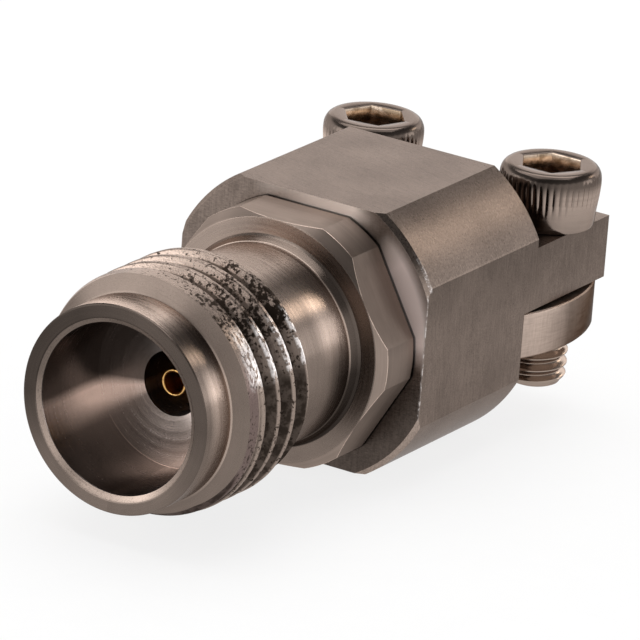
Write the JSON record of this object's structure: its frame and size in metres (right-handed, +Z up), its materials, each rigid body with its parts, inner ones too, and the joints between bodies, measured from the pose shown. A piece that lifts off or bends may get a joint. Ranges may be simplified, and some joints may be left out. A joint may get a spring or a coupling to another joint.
{
  "type": "edge launch connector",
  "caption": "Clamp-on coaxial edge launch connector with a threaded female mouth, wrench hexagon, flat-sided body, board shelf, clamp bar and socket head screws.",
  "frame": {"origin": "centre of the mouth's rim, on the coaxial line's axis", "axes": "-Y out of the mouth towards the mating plug, +Y towards the circuit board, +Z up towards the screws' heads, +X to the right for someone who looks into the mouth"},
  "size_m": [0.0088, 0.019, 0.0076],
  "materials": {
    "body_steel": "satin milled",
    "shell_steel": "turned",
    "screw_steel": "bright",
    "gold_plate": "gold plated",
    "bead_plastic": "moulded",
    "seal_glass": "fused"
  },
  "bodies": {
    "connector_body": {"launch_body": "body_steel", "coax_shell": "shell_steel", "centre_contact": "gold_plate", "support_bead": "bead_plastic", "line_sleeve": "shell_steel", "seal_ring": "gold_plate", "glass_bead": "seal_glass", "launch_pin": "gold_plate"},
    "clamp": {"clamp_bar": "body_steel"},
    "screw_left": {"clamp_screw_left": "screw_steel"},
    "screw_right": {"clamp_screw_right": "screw_steel"}
  },
  "joints": [
    {"name": "clamp_slide", "type": "slide", "parent": "connector_body", "child": "clamp", "axis": [0, 0, -1], "range_m": [0, 0.00141]},
    {"name": "screw_right_turn", "type": "hinge", "parent": "connector_body", "child": "screw_right", "pos_m": [0.00295, 0.0173, 0], "axis": [0, 0, 1], "range_deg": [0, 1440]},
    {"name": "screw_left_turn", "type": "hinge", "parent": "connector_body", "child": "screw_left", "pos_m": [-0.00295, 0.0173, 0], "axis": [0, 0, 1], "range_deg": [0, 1440]}
  ],
  "couplings": [
    {"joint": "screw_right_turn", "follows": "clamp_slide", "rad_per_m": 17810},
    {"joint": "screw_left_turn", "follows": "clamp_slide", "rad_per_m": 17810}
  ]
}
